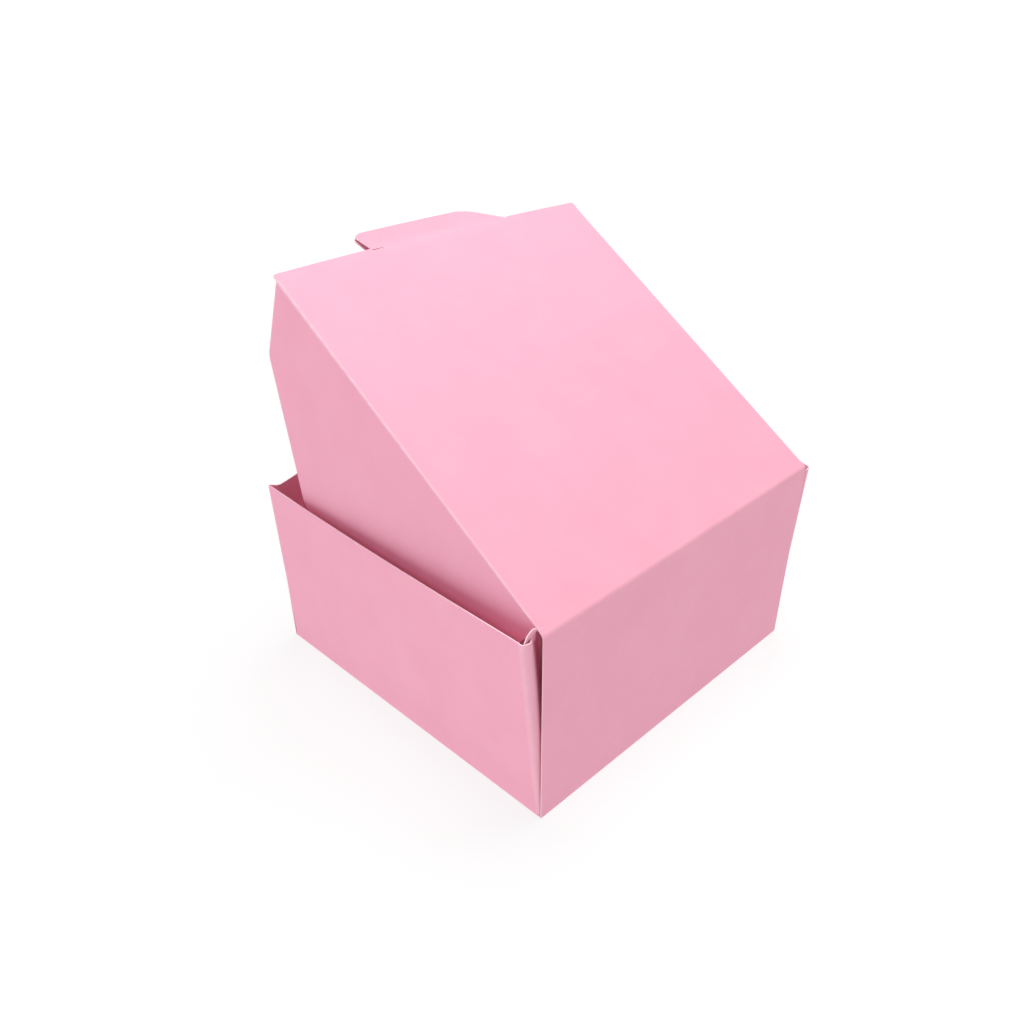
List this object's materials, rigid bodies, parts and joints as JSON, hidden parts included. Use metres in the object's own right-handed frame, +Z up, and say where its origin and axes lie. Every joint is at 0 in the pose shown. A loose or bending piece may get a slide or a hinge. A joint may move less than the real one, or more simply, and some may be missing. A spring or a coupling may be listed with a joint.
{
  "type": "flower box",
  "caption": "Square folding paperboard flower box with a hinged lid, lid side flaps and a tuck flap, shown with the lid part open.",
  "frame": {"origin": "centre of the bottom panel's underside, on the surface the box stands on", "axes": "+Z up; front wall towards -Y, back wall and lid hinge towards +Y; +X to the right when facing the front"},
  "size_m": [0.2178, 0.203, 0.2214],
  "materials": {
    "paperboard": "uncoated pink board, coloured on both faces, paler at cut edges and creases",
    "adhesive": "dried carton adhesive, hidden between board layers"
  },
  "bodies": {
    "tray": {"bottom_panel": "paperboard", "front_wall": "paperboard", "back_wall": "paperboard", "left_wall": "paperboard", "right_wall": "paperboard", "gusset_front_left": "paperboard", "glue_flap_front_left": "paperboard", "glue_patch_front_left": "adhesive", "gusset_back_left": "paperboard", "glue_flap_back_left": "paperboard", "glue_patch_back_left": "adhesive", "gusset_front_right": "paperboard", "glue_flap_front_right": "paperboard", "glue_patch_front_right": "adhesive", "gusset_back_right": "paperboard", "glue_flap_back_right": "paperboard", "glue_patch_back_right": "adhesive"},
    "lid": {"lid_panel": "paperboard"},
    "left_flap": {"lid_left_flap": "paperboard"},
    "right_flap": {"lid_right_flap": "paperboard"},
    "tuck": {"tuck_flap": "paperboard"},
    "lip": {"tuck_lip": "paperboard"}
  },
  "joints": [
    {"name": "lid_hinge", "type": "hinge", "parent": "tray", "child": "lid", "pos_m": [0, 0.1015, 0.105], "axis": [-1, 0, 0], "range_deg": [-34, 146]},
    {"name": "left_flap_crease", "type": "hinge", "parent": "lid", "child": "left_flap", "pos_m": [-0.10075, 0.10097, 0.10421], "axis": [0, -0.829, 0.5592], "range_deg": [0, 88]},
    {"name": "right_flap_crease", "type": "hinge", "parent": "lid", "child": "right_flap", "pos_m": [0.10075, 0.10097, 0.10421], "axis": [0, 0.829, -0.5592], "range_deg": [0, 88]},
    {"name": "tuck_crease", "type": "hinge", "parent": "lid", "child": "tuck", "pos_m": [0, -0.06611, 0.21775], "axis": [1, 0, 0], "range_deg": [-27, 63]},
    {"name": "lip_crease", "type": "hinge", "parent": "tuck", "child": "lip", "pos_m": [0, -0.09423, 0.2209], "axis": [1, 0, 0], "range_deg": [-168, 8]}
  ]
}
